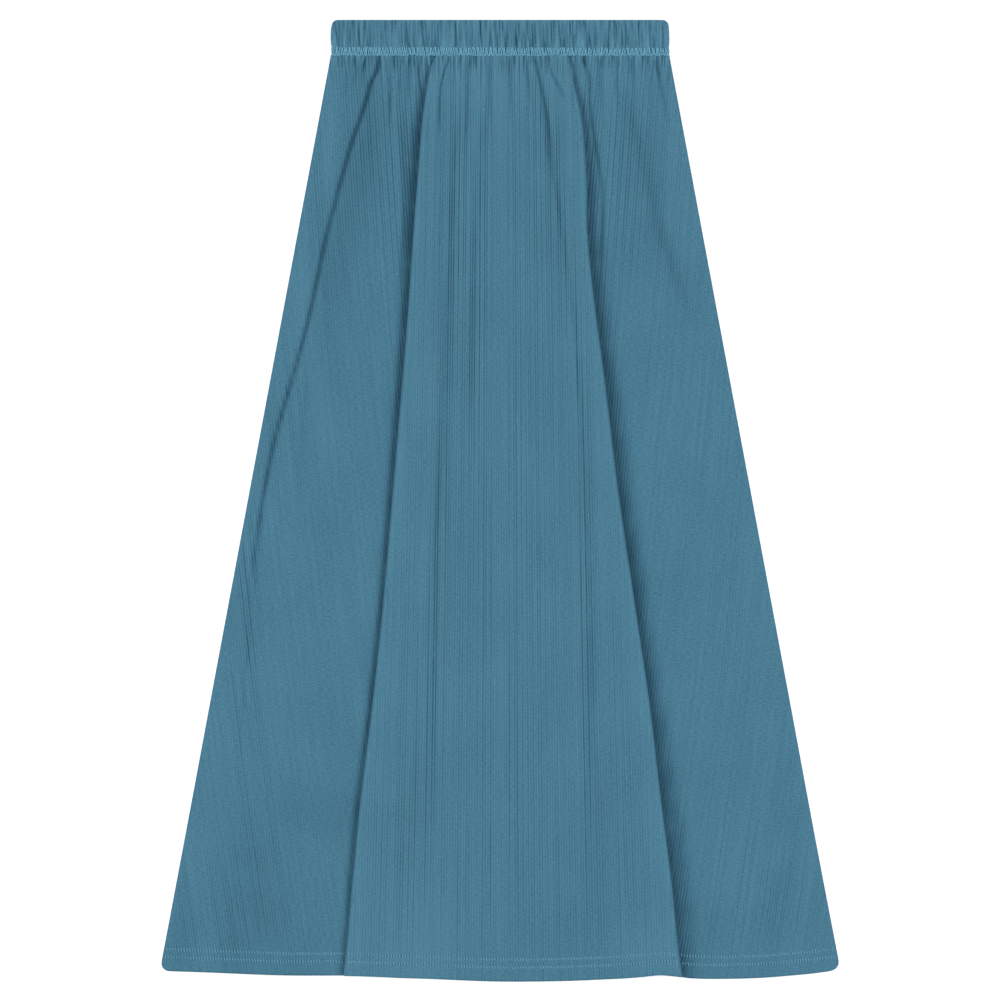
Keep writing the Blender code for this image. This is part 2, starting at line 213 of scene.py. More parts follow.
HEM_LINE_SHADE_BLEND = 0.8
SIDE_EDGE_SHADE = 0.35

# The back's relief: its seam draws it up, and its gathers are shallower
BACK_SEAM_DRAW = 0.75
BACK_SEAM_DRAW_ENDS = 6
BACK_TROUGH_SHARE = 0.7
BACK_TROUGH_MOST = 1.0
BACK_TROUGH_SHADE = 0.3
BACK_RIB_DEPTH = STRONG_RIB * 1.3

# Creases on a path: depth, half width, height of the lip on the left, then drop and x along it
CREASES = (
    (2.4, 1.6, 0.9, ((24, -84.6), (35, -86.2), (44, -90.4), (52, -92.6), (62, -95.6),
                     (94, -106.2), (156, -122.6), (201, -132.2), (236, -141),
                     (294, -158), (330, -165), (362, -170), (406, -176), (440, -180))),
    (0.5, 1.6, 0.0, ((330, -163), (406, -173), (460, -178.5), (510, -182), (550, -185))),
    (0.75, 4.8, 0.0, ((34, 84), (49, 87), (70, 92), (98, 100),
                      (126, 107), (168, 119), (210, 134), (240, 142))),
    (0.4, 2.2, 0.0, ((225, -133), (290, -138), (345, -141))),
    (1.1, 1.3, 0.0, ((24, 57.8), (34, 60.4), (42, 62.8), (54, 62.5), (68, 63.7), (86, 66.4),
                     (120, 71.5), (165, 71.0), (200, 70.5))),
    (1.5, 1.1, 0.0, ((24, -58.3), (34, -57.6), (44, -56.3), (54, -53.9), (60, -53.0))),
    (1.3, 1.0, 0.0, ((24, -36.0), (30, -37.1), (38, -39.6), (45, -41.3), (54, -42.1), (90, -42.8))),
    (1.1, 1.1, 0.0, ((24, 34.4), (31, 35.1), (39, 37.0), (46.5, 40.7), (53, 44.0), (62, 47.5))),
    (0.6, 2.0, 0.0, ((49, -26), (91, -31), (126, -33), (196, -37), (266, -39.6), (336, -43),
                     (406, -48.7), (477, -56))),
    (0.3, 2.2, 0.0, ((250, -41), (340, -43), (430, -45), (540, -52))),
    (0.7, 2.8, 0.0, ((40, -8), (91, -13.5), (126, -15), (196, -19), (266, -20.5), (320, -18))),
    (0.8, 2.0, 0.0, ((36, 26), (77, 31.8), (119, 38.8), (168, 46.5), (231, 53.5), (287, 57.5),
                     (378, 61.5), (476, 63), (611, 61))),
    (0.7, 1.6, 0.0, ((52, -72), (110, -67), (160, -68), (210, -71))),
)

# Furrows that stand open, deeper and with painted shade: start drop, start x, end drop, end x, half
# width, strength
OPEN_FURROWS = (
    (50, -28, 270, -36, 4.5, 1.0),
    (220, -38, 410, -42, 3.8, 1.0),
    (330, -44, 570, -49, 5.5, 1.0),
    (430, -52, 650, -59, 6.5, 0.7),
    (50, -12, 330, -19, 5.0, 0.8),
    (30, 24, 120, 41, 4.0, 0.9),
    (60, 30, 190, 50, 4.5, 0.8),
    (150, 46, 290, 59, 4.5, 0.9),
    (240, 58, 630, 61, 4.5, 1.0),
    (300, -8, 560, -4, 11.0, 0.35),
    (540, -3.5, 673, -1.5, 5.0, 0.9),
    (430, 8, 640, 5, 13.0, 0.45),
    (45, 84, 190, 92, 9.0, 0.5),
    (45, -72, 200, -71, 9.0, 0.7),
    (310, -177, 560, -180, 9.0, 0.7),
    (200, 5, 480, 12, 14.0, 0.3),
    (520, -70, 673, -80, 14.0, 0.3),
    (520, 150, 660, 185, 30.0, 0.3),
)
FURROW_ENDS = 0.8
FURROWS_MOST = 1.2

# Furrows in the middle also open a little towards the waist
UPPER_FURROWS = 0.46
UPPER_FURROWS_END = 340.0
UPPER_FURROWS_REACH = 45

# Places in the side parts where the ribs show more: x, drop, reach across, reach along, amount
CLEAR_RIBS = (
    (-152, 285, 14, 50, 0.35),
    (-178, 420, 12, 90, 0.60),
    (-168, 590, 20, 70, 0.50),
    (-205, 640, 22, 45, 0.60),
    (-140, 650, 20, 30, 0.25),
    (165, 420, 14, 60, 0.25),
    (200, 630, 26, 50, 0.50),
    (150, 600, 20, 50, 0.20),
)

# Soft swells and hollows: x, drop, reach across, reach along, height
SWELLS = (
    (-150, 120, 14, 60, 0.5),
    (-92, 210, 13, 90, -0.5),
    (-130, 420, 24, 90, 0.4),
    (-175, 600, 22, 60, -0.5),
    (-130, 610, 18, 40, 0.4),
    (-93, 575, 10, 12, -0.5),
    (-70, 560, 16, 7, 0.5),
    (-78, 585, 18, 8, -0.45),
    (-20, 210, 12, 120, -0.4),
    (15, 160, 14, 110, 0.5),
    (-8, 420, 10, 120, 0.3),
    (58, 330, 9, 160, -0.4),
    (90, 560, 14, 70, 0.4),
    (128, 180, 12, 90, -0.4),
    (150, 300, 16, 80, 0.4),
    (165, 520, 22, 60, 0.35),
    (190, 600, 16, 40, -0.4),
    (20, 600, 26, 40, 0.3),
)

# Fine ripples: height, then x and drop for one radian and the phase, of a fast and a slow wave
RIPPLES = (
    (0.12, 9.7, 61, 0.0, math.inf, 47, 1.3),
    (0.10, 5.3, -83, 0.7, 40, 71, 0.0),
)

# Shade beside the folds: drop, reach and strength at the left fold, reach and strength at the right
FOLD_SHADE = (
    (25.0, 5.0, 0.25, 4.0, 0.1),
    (45.0, 7.0, 0.40, 6.0, 0.10),
    (70.0, 8.5, 0.60, 9.0, 0.22),
    (126.0, 8.0, 0.85, 12.0, 0.45),
    (161.0, 8.0, 0.80, 14.0, 0.65),
    (231.0, 6.5, 0.65, 14.0, 0.65),
    (301.0, 5.5, 0.6, 14.0, 0.7),
    (441.0, 4.5, 0.6, 13.0, 0.7),
    (581.0, 6.0, 0.5, 17.0, 0.7),
    (640.0, 3.6, 0.5, 16.0, 0.65),
    (673.0, 2.6, 0.5, 13.0, 0.55),
)
# Painted light on the middle part, and more of it near the crests of the folds
CREST_PAINTED_LIGHT = 0.22
CREST_REACH = 20.0
CENTRE_PAINTED_LIGHT = 0.06

# Painted shade and light on the laid cloth, darker or lighter: x, drop, reach across, reach along,
# amount
PAINTED_SHADE_AND_LIGHT = (
    (-89, 55, 8, 36, 0.30),
    (-96, 105, 11, 40, 0.26),
    (-112, 150, 11, 40, 0.20),
    (-120, 200, 11, 55, 0.20),
    (-120, 90, 7, 45, -0.34),
    (-139, 165, 6, 45, -0.28),
    (-62, 660, 42, 45, -0.42),
    (-150, 640, 26, 35, 0.16),
    (-172, 600, 20, 50, 0.20),
    (-128, 556, 34, 16, 0.18),
    (-92, 520, 14, 10, -0.12),
    (-72, 556, 18, 8, 0.18),
    (-114, 560, 13, 18, 0.16),
    (-80, 545, 16, 6, -0.12),
    (-200, 520, 18, 40, -0.12),
    (-160, 400, 16, 90, -0.10),
    (60, 610, 24, 50, 0.14),
    (170, 560, 22, 60, -0.02),
    (150, 640, 12, 26, 0.12),
    (-20, 95, 12, 60, -0.12),
    (75, 110, 10, 50, -0.10),
    (105, 658, 22, 24, -0.40),
    (-230, 650, 12, 20, 0.10),
    (206, 650, 10, 17, -0.14),
    (0, 42, 130, 26, -0.32),
    (124, 95, 11, 60, -0.35),
    (152, 190, 12, 60, -0.14),
    (112, 150, 9, 60, 0.12),
    (-106, 75, 5, 26, 0.12),
    (-54, 62, 16, 36, 0.14),
    (104, 120, 9, 45, 0.04),
    (124, 185, 9, 45, 0.07),
    (-224, 650, 5, 20, 0.14),
    (-206, 655, 7, 18, -0.16),
    (-186, 655, 7, 22, 0.18),
    (196, 585, 8, 14, -0.12),
)

# Waistband's section from the inside over the top to the seam: drop, distance out, share of gathers
BAND_SECTION = (
    (24.8, -0.9, 0.0),
    (14.0, -1.0, 0.0),
    (3.0, -1.0, 0.0),
    (1.0, -0.8, 0.05),
    (0.2, -0.3, 0.1),
    (0.0, 0.2, 0.15),
    (0.2, 0.7, 0.25),
    (0.8, 1.1, 0.4),
    (1.6, 1.3, 0.6),
    (2.8, 1.35, 0.85),
    (4.5, 1.4, 1.0),
    (7.0, 1.45, 1.0),
    (10.0, 1.5, 1.0),
    (13.0, 1.5, 1.0),
    (15.5, 1.5, 1.0),
    (17.2, 1.45, 0.9),
    (18.3, 1.3, 0.7),
    (19.2, 1.25, 0.5),
    (20.6, 1.2, 0.4),
    (22.1, 1.2, 0.4),
    (23.6, 1.2, 0.4),
    (24.8, 1.1, 0.45),
    (25.2, 0.7, 0.4),
    (25.2, 0.1, 0.2),
)
BAND_STEP = 0.4
BAND_SIDE_STEPS = 10
BAND_GATHER_COUNT = 88
BAND_GATHER_DEPTH = 1.1
BAND_GATHER_LEAN = 5.5
BAND_LEAST_LEAN = 0.15
BAND_GATHER_WANDER = 0.9
BAND_GATHER_LEAST, BAND_GATHER_BY_LUCK = 0.32, 0.7
BAND_GATHER_HALF, BAND_HALF_BY_LUCK = 0.4, 0.35
BAND_GATHER_MOST = 1.4
BAND_GATHER_BEND = 0.6
BAND_RISE = 0.5
BAND_RIB = 1.9
BAND_RIB_HEIGHT = 0.16
BAND_RIB_LEAN = 1.5
BAND_MIDDLE_DROP = 10
# Painted shade in the band's gathers and between its ribs, and an even painted light over its face
BAND_TROUGH_SHADE = 0.5
BAND_RIB_SHADE = 0.26
BAND_PAINTED_LIGHT = 0.4

# Cover seam, which is taller on the left
SEAM_TOP = 18.9
SEAM_TAPER = 0.4
SEAM_BOTTOM = 25.4
SEAM_REPEAT = 3.0
SEAM_BOW = 0.12
SEAM_BOW_LEAST, SEAM_BOW_BY_LUCK = 0.2, 1.4
SEAM_DRIFT = 0.4
SEAM_SHORTER = 0.24
SEAM_TURNS = 1.12
SEAM_LAG = 0.12
SEAM_POINTS = 16
SEAM_MIDDLE = 22.0
SEAM_GATHER_SHARE = 0.4
SEAM_FACE_TOP = 17
SEAM_FACE_OUT = 0.4
LOOPER_RADIUS = 0.26
LOOPER_LIFT, LOOPER_ARCH = (0.6, 0.1), 0.6
SEAM_SHADE = -0.15

# Hem stitches
HEM_ROWS = (10.0, 15.5)
HEM_STITCH = 0.7
HEM_STITCH_LEAST, HEM_STITCH_BY_LUCK = 0.9, 0.2
HEM_GAP, HEM_GAP_BY_LUCK = 0.15, 0.1
HEM_STITCH_STEP = 1.96
HEM_STITCH_SLANT = 1.5
HEM_THREAD_RADIUS = 0.28
# How far they stand out: a share, then waves: size, x for one radian, phase between the rows
HEM_SHOWS = 1.1
HEM_SHOWS_WAVES = ((0.2, 13, 2), (0.15, 4.1, 0))
HEM_STITCH_POINTS = 6
HEM_STITCH_SINK = 0.3
HEM_STITCH_ARCH = 1.2
HEM_STITCH_ROUND = 0.6
STITCH_LUCKS = 400
STITCH_GROOVE = 0.2
STITCH_GROOVE_REACH = 0.8
HEM_SPAN_GAP = 1.0
HEM_SPAN_EDGE = 1.6
COVERED_REACH = 1.2
COVERED_DEPTH = 0.8
NEAR = 0.01

# Finest gathers, painted in the material as lines of shade and light: whole up to one drop, gone at
# the other. The band is all in them
FINE_GATHERS = (27.0, 48.0)
BAND_FINE_GATHERS = (60.0, 90.0)

# Colours
JERSEY = (0.0640, 0.204, 0.297)
# Darker and lighter jersey for its mottle, flecks and grain, and for painted shade and light
JERSEY_DARKER_AND_SHADE = (0.020, 0.080, 0.132)
JERSEY_LIGHTER_AND_HIGHLIGHT = (0.100, 0.262, 0.370)
SEAM_THREAD = (0.182, 0.488, 0.655)
HEM_THREAD = (0.165, 0.460, 0.620)
JERSEY_SHEEN = (0.55, 0.80, 0.90)
PAPER_WHITE = (0.92, 0.92, 0.92)
LIGHT_WHITE = (1.0, 1.0, 1.0)

# Camera: the photo is 1000 pixels wide, and a pixel is 0.7 mm at the cloth
PHOTO_PIXELS = 1000
PIXEL = 0.7
CAMERA_X = -0.07
CAMERA_Y = 0.63
CAMERA_HEIGHT = 3000.0
SENSOR = 36.0
CLOTH_LEVEL = 4.0

# Nearest and farthest that it sees, in metres
CAMERA_SEES = (0.1, 20.0)

# Softboxes beside the skirt: sizes in metres, rise above the floor in degrees, power in watts
SOFTBOX_RISE = 34.0
SOFTBOX_POWER = 27.0
SOFTBOX_AWAY = 2.2
SOFTBOX_WIDTH = 1.1
SOFTBOX_LENGTH = 1.8

# Room: the floor's half width is in metres
ROOM_LIGHT = 0.50
FLOOR_GLOW = 0.45
FLOOR_HALF_WIDTH = 12.0
FLOOR_LEVEL = -0.4

chance = np.random.default_rng(17)
RIB_CHANCE = chance.random(2 * LAST_SIDE_COLUMN + 4)
STITCH_CHANCE = chance.random((6, STITCH_LUCKS))


# Curves that everything reads


def smooth(t):
    """Rises from 0 to 1 with flat ends."""
    t = np.clip(t, 0.0, 1.0)
    return t * t * (3 - 2 * t)


def bell(away, reach):
    """Falls from 1 at the middle to about a third at its reach, and on to 0."""
    return np.exp(-((away / reach) ** 2))


def read(table, at):
    """A table's other columns at values of its first, on a smooth curve through its rows."""
    table = np.array(table, float)
    keys, values = table[:, 0], table[:, 1:]
    at = np.clip(at, keys[0], keys[-1])
    i = np.clip(np.searchsorted(keys, at, "right") - 1, 0, len(keys) - 2)
    span = keys[i + 1] - keys[i]
    t = (at - keys[i]) / span
    low = np.maximum(np.arange(len(keys)) - 1, 0)
    high = np.minimum(np.arange(len(keys)) + 1, len(keys) - 1)
    slopes = (values[high] - values[low]) / (keys[high] - keys[low])[:, None]
    a, b, c, d = (
        (1 + 2 * t) * (1 - t) ** 2,
        t * (1 - t) ** 2 * span,
        t * t * (3 - 2 * t),
        -t * t * (1 - t) * span,
    )
    return a * values[i].T + b * slopes[i].T + c * values[i + 1].T + d * slopes[i + 1].T


def hem_share(drop):
    """How far a row follows the hem's line."""
    return smooth((drop - SAG_START) / (LENGTH - SAG_START))


def half_width(drop):
    """Half the laid width, with the hem's corners rounded."""
    side_drop = drop - (LENGTH - HEM_LINE[0][1]) * hem_share(drop)
    wide = WAIST_WIDTH / 2 + SIDE_EASE + FLARE * max(side_drop - BAND_HEIGHT, 0.0)
    into_corner = max(drop - (LENGTH - HEM_CORNER), 0.0)
    return wide - HEM_CORNER + math.sqrt(max(HEM_CORNER**2 - into_corner**2, 0.0))


def wall_at(drop):
    """Thickness of the cloth, which is more where the hem is turned up."""
    starts = LENGTH - HEM_DEPTH - HEM_WALL_BLEND / 2
    turned = smooth((drop - starts) / HEM_WALL_BLEND)
    return CLOTH + (HEM_CLOTH - CLOTH) * turned


def y_of(x, drop, shorter):
    """Y of points on a section. Sections near the hem follow its line, which shorter lifts."""
    hem_drop = read(HEM_LINE, x)[0]
    return LENGTH / 2 - drop - (hem_drop - LENGTH - shorter) * hem_share(drop)


# Relief of the cloth


def calm_right(x):
    """How much shallower the gathers are on the right."""
    return CALM_RIGHT * smooth(2 * x / WAIST_WIDTH)


def about_one():
    """A random factor from 0.5 to 1.5."""
    return 0.5 + chance.random()


def puckers():
    """Short gathers between the long ones, all along the waist seam."""
    rows = []
    for k in range(PUCKER_COUNT):
        wide = WAIST_WIDTH / PUCKER_COUNT
        x = (k + 0.5 * about_one()) * wide - WAIST_WIDTH / 2
        end = BAND_HEIGHT + PUCKER_LENGTH * about_one()
        depth = PUCKER_DEPTH * about_one() * (1 - calm_right(x))
        end_x = x * PUCKER_SPREAD + PUCKER_WANDER * (about_one() - 1)
        bow = PUCKER_BOW * math.sin(PUCKER_TURN * k)
        rows.append((GATHERS_START, x, end, end_x, bow, depth, PUCKER_HALF_WIDTH))
    return tuple(rows)


ALL_GATHERS = GATHERS + puckers()


def opening(from_seam):
    """How much of a gather is there at a distance below the seam, which pinches it."""
    opened = float(smooth(from_seam / GATHER_OPENS_IN))
    return GATHER_START_SHARE + (1 - GATHER_START_SHARE) * opened


def gather_line(row, drop):
    """X of one gather at a drop, and how much of it is there."""
    start_drop, start_x, end_drop, end_x, bow = row[:5]
    t = (drop - start_drop) / (end_drop - start_drop)
    if not 0 <= t <= 1:
        return 0.0, 0.0
    share = opening(drop - start_drop) * float(smooth((1 - t) * GATHER_FADE))
    return start_x + (end_x - start_x) * t + bow * 4 * t * (1 - t), share


def crease_line(row, drop):
    """X of one crease at a drop, and how much of it is there."""
    path = row[3]
    first, last = path[0][0], path[-1][0]
    if not first <= drop <= last:
        return 0.0, 0.0
    if first < STARTS_AT_SEAM:
        start = opening(drop - first)
    else:
        start = float(smooth((drop - first) / CREASE_FADES_IN))
    end = float(smooth((last - drop) / (CREASE_FADE_OUT * (last - first))))
    return float(read(path, drop)[0]), start * end


def troughs(x, drop):
    """Depth of gathers and creases, and their lips, at points of a row."""
    depth, lip = np.zeros_like(x), np.zeros_like(x)
    for row in ALL_GATHERS:
        line, share = gather_line(row, drop)
        if share:
            depth += row[5] * share * bell(x - line, row[6])
    for row in CREASES:
        line, share = crease_line(row, drop)
        if share:
            away = x - line
            depth += row[0] * share * bell(away, row[1])
            beside = smooth(LIP_START - away / LIP_RISE) * np.exp(np.minimum(away, 0) / LIP_REACH)
            lip += row[2] * share * beside
    return depth, lip


def pulled(x, drop):
    """Columns drawn together into the gathers and narrow creases beside them."""
    shift = np.zeros_like(x)
    lines = [gather_line(row, drop) for row in GATHERS]
    lines += [crease_line(row, drop) for row in CREASES if row[1] < NARROW_CREASE]
    for line, share in lines:
        if share:
            away = x - line
            shift -= PULL_SHARE * share * away * bell(away, PULL_REACH)
    return x + shift


def spots(table, x, drop):
    """The sum of a table's soft round spots at points of a row."""
    amount = np.zeros_like(x)
    for at_x, at_drop, across, along, strength in table:
        amount += strength * bell(x - at_x, across) * bell(drop - at_drop, along)
    return amount


def swell(x, drop):
    """The unevenness of cloth that was laid down by hand."""
    height = spots(SWELLS, x, drop)
    for size, across, down, phase, slow_across, slow_down, slow_phase in RIPPLES:
        fine = np.sin(x / across + drop / down + phase)
        height += size * fine * np.sin(x / slow_across + drop / slow_down + slow_phase)
    return height


def open_furrows(x, drop):
    """How far the furrows stand open at points of a row."""
    share = np.zeros_like(x)
    for start_drop, start_x, end_drop, end_x, half, strength in OPEN_FURROWS:
        t = (drop - start_drop) / (end_drop - start_drop)
        if 0 < t < 1:
            line = start_x + (end_x - start_x) * t
            ends = math.sin(math.pi * t) ** FURROW_ENDS
            share += strength * ends * bell(x - line, half)
    in_middle = smooth(2 - np.abs(x) / UPPER_FURROWS_REACH)
    share += UPPER_FURROWS * (1 - smooth(drop / UPPER_FURROWS_END)) * in_middle
    return np.minimum(share, FURROWS_MOST)


def ribs(column, x, drop):
    """Height of the ribs on their columns, and the painted shade of each column: darker in
    furrows, lighter on ridges where it is below 0. Ridges are even, and each second ridge is
    strong."""
    strong = np.where(column % 4 == 0, STRONG_RIB, WEAK_RIB)
    luck = RIB_CHANCE[np.abs(column)]
    height = np.where(column % 2 == 0, strong * (RIB_LEAST + RIB_BY_LUCK * luck), 0.0)
    stands_open = open_furrows(x, drop)
    furrow = column % 2 == 1
    deep = furrow * (luck > DEEP_FURROW_LUCK)
    height -= DEEP_FURROW * deep * stands_open
    # Painted shade in furrows, more where they stand open, and painted light on ridges
    dark = np.where(furrow, FURROW_PAINTED_SHADE + FURROW_PAINTED_SHADE_BY_LUCK * luck, RIDGE_PAINTED_SHADE)
    dark = dark + deep * DEEP_FURROW_PAINTED_SHADE * stands_open
    dark = np.where(furrow, dark, dark - OPEN_RIDGE_PAINTED_LIGHT * stands_open)
    return height, dark


# Meshes


def cloth_mesh(name, x, y, z, u, v, shade):
    """A shell of cloth from arrays with a row for each section and a column for each line of
    points. Columns that have run out at a fold or an edge are merged."""
    rows, columns = x.shape
    bm = bmesh.new()
    bmesh.ops.create_grid(bm, x_segments=columns - 1, y_segments=rows - 1, size=0.5)
    weave = bm.loops.layers.uv.new("cloth")
    dark = bm.verts.layers.float.new("shade")
    spot = {}
    for vert in bm.verts:
        column = round((vert.co.x + 0.5) * (columns - 1))
        row = round((0.5 - vert.co.y) * (rows - 1))
        spot[vert] = (row, column)
        vert.co = (x[row, column] * MM, y[row, column] * MM, z[row, column] * MM)
        vert[dark] = shade[row, column]
    for face in bm.faces:
        for loop in face.loops:
            at = spot[loop.vert]
            loop[weave].uv = (u[at] * MM, v[at] * MM)
    bmesh.ops.remove_doubles(bm, verts=bm.verts, dist=MERGE * MM)
    bmesh.ops.dissolve_degenerate(bm, edges=bm.edges, dist=MERGE * MM)
    return piece_from(bm, name)


def smooth_piece(name, mesh):
    """A smoothly shaded piece in the scene, from its mesh."""
    mesh.shade_smooth()
    piece = bpy.data.objects.new(name, mesh)
    bpy.context.scene.collection.objects.link(piece)
    return piece


def piece_from(bm, name):
    """A piece from a bmesh, which is freed."""
    mesh = bpy.data.meshes.new(name)
    bm.to_mesh(mesh)
    bm.free()
    return smooth_piece(name, mesh)


def threads(name, lines, radius):
    """Threads as thin tubes along lines of points, in one piece."""
    curve = bpy.data.curves.new(name, "CURVE")
    curve.dimensions = "3D"
    curve.bevel_depth = radius * MM
    curve.bevel_resolution = 1
    curve.use_fill_caps = True
    for line in lines:
        spline = curve.splines.new("POLY")
        spline.points.add(len(line) - 1)
        flat = np.column_stack([np.array(line) * MM, np.ones(len(line))])
        spline.points.foreach_set("co", flat.ravel())
    tube = bpy.data.objects.new(name, curve)
    bpy.context.scene.collection.objects.link(tube)
    bpy.context.view_layer.update()
    mesh = bpy.data.meshes.new_from_object(
        tube.evaluated_get(bpy.context.evaluated_depsgraph_get())
    )
    bpy.data.objects.remove(tube)
    bpy.data.curves.remove(curve)
    mesh.name = name
    return smooth_piece(name, mesh)


# Panels


def side_curl(drop, radius, wall, depth, up):
    """The rounded side edge of one panel, from the seam to the flat, with the seam drawn in."""
    angles = np.linspace(CURL_START, math.pi / 2, CURL_STEPS)
    drawn_in = SIDE_SEAM_DRAW * bell(angles, SIDE_SEAM_ANGLE) * (1 - depth)
    distance = radius - depth * wall - drawn_in
    centre = half_width(drop) - radius
    return -centre - distance * np.cos(angles), radius + up * distance * np.sin(angles)


def fold_turns(crest, tuck, spacing, under, wall, depth):
    """The hidden layers of the left fold: in under the middle part, back out, over the crest. The
    layers have points between their turns, so that they follow the hem's line too."""
    side = 1 - 2 * depth
    low = max(spacing / 2 - side * wall / 2, LEAST_TURN)
    high = max(spacing / 2 + side * wall / 2, LEAST_TURN)
    crest_x = crest + spacing / 2 + wall / 2
    lower = under + wall / 2 + spacing / 2
    first_layer = crest + np.linspace(0, tuck, LAYER_STEPS)[1:-1]
    second_layer = np.linspace(crest + tuck, crest_x, LAYER_STEPS)[1:-1]
    inner = np.linspace(-math.pi / 2, math.pi / 2, TURN_STEPS + 1)
    outer = np.linspace(math.pi * 1.5, math.pi / 2, TURN_STEPS + 1)
    turn_in = crest + tuck + low * np.cos(inner)
    turn_out = crest_x + high * np.cos(outer)
    x = [first_layer, turn_in, second_layer, turn_out]
    z = [
        np.full_like(first_layer, lower - low),
        lower + low * np.sin(inner),
        np.full_like(second_layer, lower + low),
        lower + spacing + high * np.sin(outer),
    ]
    return np.concatenate(x), np.concatenate(z)


def along(x, z, start):
    """Distance along a run of points, counted from a value at the first."""
    steps = np.hypot(np.diff(x), np.diff(z))
    return start + np.concatenate([[0.0], np.cumsum(steps)])


def with_curls(curl, x, z, u, shade):
    """A row with the left side edge added at its start, and the same on the right."""
    distance = along(*curl, 0.0)
    curl_x, curl_z, curl_u = curl[0][:-1], curl[1][:-1], (distance - distance[-1])[:-1]
    plain = np.full(len(curl_x), SIDE_EDGE_SHADE)
    return (
        np.concatenate([curl_x, x, -curl_x[::-1]]),
        np.concatenate([curl_z, z, curl_z[::-1]]),
        np.concatenate([u[0] + curl_u, u, u[-1] - curl_u[::-1]]),
        np.concatenate([plain, shade, plain]),
    )


def ribbed(column, x, start, end, drop, inside, wall, depth, strength):
    """One part of the front between two limits, on the face or on the inside."""
    free_x = pulled(x, drop)
    low, high = free_x < start + SNAP, free_x > end - SNAP
    at = np.where(low, start, np.where(high, end, free_x))
    room = np.minimum(at - start, end - at)
    rib, dark = ribs(column, at, drop)
    rib, dark = rib * strength, dark * strength
    trough, lip = troughs(at, drop)
    near_waist = 1 - smooth((drop - BAND_HEIGHT) / (WAIST_RISE_ENDS - BAND_HEIGHT))
    from_seam = 1 - float(smooth((drop - BAND_HEIGHT) / SEAM_RISE_ENDS))
    rise = SOFT_RISE + WAIST_RISE * near_waist + SEAM_RISE * from_seam
    rise = rise + swell(at, drop) - trough + lip
    rise = np.maximum(rise, LEAST_RISE) * smooth(room / RISE_FADE)
    rib = rib * smooth(room / RIB_FADE)
    z = inside(at) + (wall + rise + rib) * (1 - depth)
    # Painted shade in furrows, gathers and creases and inside the hem, and painted shade and light
    # in soft spots
    shade = dark * smooth(room / RIB_FADE) + TROUGH_SHADE * np.minimum(trough, TROUGH_SHADE_MOST)
    return at, z, shade + spots(PAINTED_SHADE_AND_LIGHT, at, drop) + HEM_EDGE_SHADE * depth


def side_ribs(x, drop):
    """How strong the ribs are in the side parts, where the cloth lies slack."""
    return float(read(SIDE_RIBS, drop)[0]) + spots(CLEAR_RIBS, x, drop)


